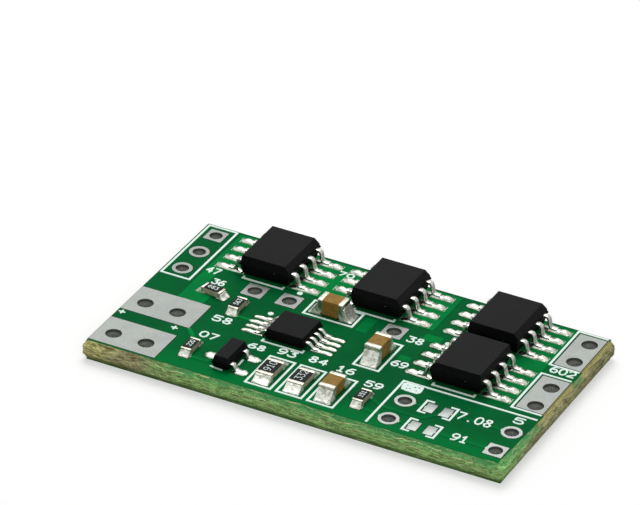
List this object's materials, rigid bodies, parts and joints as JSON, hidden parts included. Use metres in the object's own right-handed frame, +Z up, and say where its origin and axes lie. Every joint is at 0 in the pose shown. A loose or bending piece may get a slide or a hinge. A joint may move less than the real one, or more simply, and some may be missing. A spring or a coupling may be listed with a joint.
{
  "type": "solar charge controller board",
  "caption": "Small green circuit board with black packages, chip resistors and capacitors, and plated wire lands at both ends.",
  "frame": {"origin": "centre of the board's underside", "axes": "+X along the long edge from the panel lands to the battery lands, +Y to the edge that the large packages stand along, +Z up out of the part side"},
  "size_m": [0.0322, 0.0186, 0.0032],
  "materials": {
    "laminate": "woven glass laminate, broken edges rough",
    "mask": "glossy green solder mask",
    "copper": "copper foil under the mask",
    "tinned_land": "dull tinned copper",
    "solder": "bright solder",
    "lead": "tinned lead frame",
    "package": "black moulding compound, fine speckle",
    "ceramic": "white alumina",
    "capacitor": "ochre brown ceramic",
    "glaze": "black glass overcoat",
    "cap": "tinned end cap",
    "print": "pale printing ink"
  },
  "bodies": {
    "root": {"battery_terminal_negative": "tinned_land", "battery_terminal_positive": "tinned_land", "capacitor_1_caps": "cap", "capacitor_1_ceramic": "capacitor", "capacitor_2_caps": "cap", "capacitor_2_ceramic": "capacitor", "capacitor_3_caps": "cap", "capacitor_3_ceramic": "capacitor", "capacitor_solder": "solder", "controller_body": "package", "controller_leads": "lead", "controller_solder": "solder", "copper_pours": "copper", "copper_traces": "copper", "header_lands": "tinned_land", "jumper_lands": "tinned_land", "laminate": "laminate", "mosfet_1_body": "package", "mosfet_1_leads": "lead", "mosfet_1_solder": "solder", "mosfet_2_body": "package", "mosfet_2_leads": "lead", "mosfet_2_solder": "solder", "mosfet_3_body": "package", "mosfet_3_leads": "lead", "mosfet_3_solder": "solder", "mosfet_4_body": "package", "mosfet_4_leads": "lead", "mosfet_4_solder": "solder", "option_lands": "tinned_land", "panel_terminal_negative": "tinned_land", "panel_terminal_positive": "tinned_land", "printed_frames": "print", "regulator_body": "package", "regulator_leads": "lead", "regulator_solder": "solder", "resistor_1_caps": "cap", "resistor_1_ceramic": "ceramic", "resistor_1_glaze": "glaze", "resistor_2_caps": "cap", "resistor_2_ceramic": "ceramic", "resistor_2_glaze": "glaze", "resistor_3_caps": "cap", "resistor_3_ceramic": "ceramic", "resistor_3_glaze": "glaze", "resistor_4_caps": "cap", "resistor_4_ceramic": "ceramic", "resistor_4_glaze": "glaze", "resistor_5_caps": "cap", "resistor_5_ceramic": "ceramic", "resistor_5_glaze": "glaze", "resistor_6_caps": "cap", "resistor_6_ceramic": "ceramic", "resistor_6_glaze": "glaze", "resistor_solder": "solder", "solder_mask_bottom": "mask", "solder_mask_top": "mask", "test_lands": "tinned_land"}
  },
  "joints": []
}
